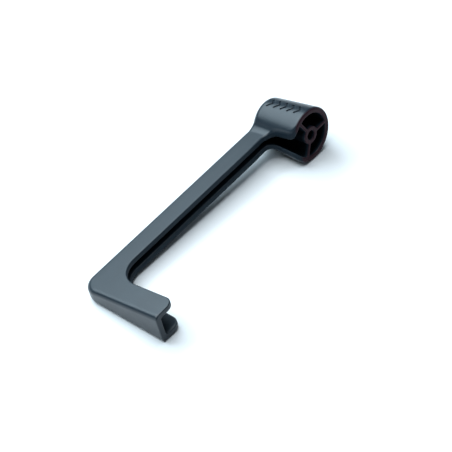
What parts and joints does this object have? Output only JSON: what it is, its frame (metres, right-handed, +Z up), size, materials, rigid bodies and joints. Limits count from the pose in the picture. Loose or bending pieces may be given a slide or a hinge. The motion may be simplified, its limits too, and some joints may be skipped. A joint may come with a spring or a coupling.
{
  "type": "winch handle",
  "caption": "L-shaped moulded crank handle for a small winch: ribbed hub barrel with a square steel drive socket, open channel arm and a channel-section grip.",
  "frame": {"origin": "middle of the footprint, on the surface that the handle lies on with the hub axis level", "axes": "+X along the hub axis from the drive end to the open end, +Y from the grip to the hub, +Z up, square to the handle's mid-plane"},
  "size_m": [0.078, 0.2353, 0.0449],
  "materials": {
    "moulding": "satin moulded, blue-black",
    "socket_steel": "machined",
    "screw_steel": "dark oxide"
  },
  "bodies": {
    "root": {"grip_web": "moulding", "grip_flange_upper": "moulding", "grip_flange_lower": "moulding", "arm_web": "moulding", "arm_flange_upper": "moulding", "arm_flange_lower": "moulding", "neck_flange_upper": "moulding", "neck_flange_lower": "moulding", "barrel_end_wall": "moulding", "barrel_wall_upper": "moulding", "barrel_wall_lower": "moulding", "barrel_wall_far_upper": "moulding", "barrel_wall_far_lower": "moulding", "hub_root": "moulding", "hub_tube": "moulding", "rib_outer": "moulding", "rib_upper": "moulding", "rib_lower": "moulding", "drive_socket": "socket_steel", "hub_screw": "screw_steel"}
  },
  "joints": []
}
